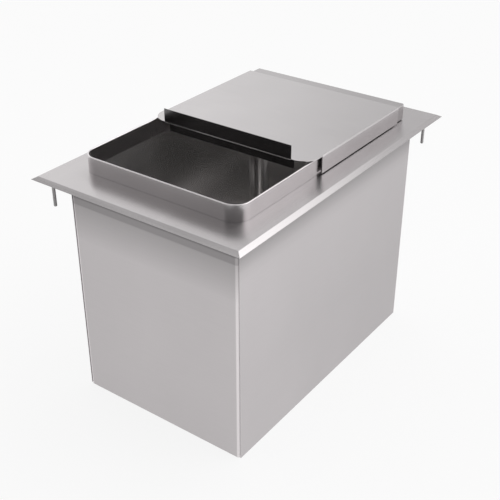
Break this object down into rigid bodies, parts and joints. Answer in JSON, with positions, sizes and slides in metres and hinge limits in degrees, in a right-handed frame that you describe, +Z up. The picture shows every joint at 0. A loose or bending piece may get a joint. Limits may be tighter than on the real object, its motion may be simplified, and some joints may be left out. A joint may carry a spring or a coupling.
{
  "type": "drop-in ice bin",
  "caption": "Drop-in stainless steel ice bin with a bevelled deck flange, raised collar, insulated tub with a drain, a rear lid and a sliding lid with an upturned pull tab.",
  "frame": {"origin": "centre of the underside of the housing", "axes": "+Z up, -Y to the open front end of the mouth, +Y to the rear lid, +X across the bin to the right of someone at the front end"},
  "size_m": [0.356, 0.535, 0.4159],
  "materials": {
    "deck_steel": "satin",
    "housing_steel": "satin",
    "liner_steel": "satin",
    "lid_steel": "satin",
    "fitting_steel": "satin",
    "seal_rubber": "matte",
    "glide_plastic": "satin",
    "foam": "matte"
  },
  "bodies": {
    "bin": {"deck": "deck_steel", "collar": "deck_steel", "front_panel": "housing_steel", "back_panel": "housing_steel", "left_panel": "housing_steel", "right_panel": "housing_steel", "bottom_pan": "housing_steel", "liner_wall": "liner_steel", "liner_floor": "liner_steel", "mounting_studs": "fitting_steel", "drain_tube": "fitting_steel", "drain_locknut": "fitting_steel", "drain_washer": "seal_rubber", "drain_bush": "seal_rubber", "insulation_front": "foam", "insulation_back": "foam", "insulation_left": "foam", "insulation_right": "foam", "insulation_floor": "foam"},
    "rear_lid": {"rear_lid": "lid_steel"},
    "sliding_lid": {"sliding_lid": "lid_steel", "lid_glides": "glide_plastic"},
    "strainer": {"drain_strainer": "fitting_steel"}
  },
  "joints": [
    {"name": "sliding_lid_slide", "type": "slide", "parent": "rear_lid", "child": "sliding_lid", "axis": [0, -1, 0], "range_m": [0, 0.1495]},
    {"name": "rear_lid_lift", "type": "slide", "parent": "bin", "child": "rear_lid", "axis": [0, 0, 1], "range_m": [0, 0.15]},
    {"name": "strainer_lift", "type": "slide", "parent": "bin", "child": "strainer", "axis": [0, 0, 1], "range_m": [0, 0.12]}
  ]
}
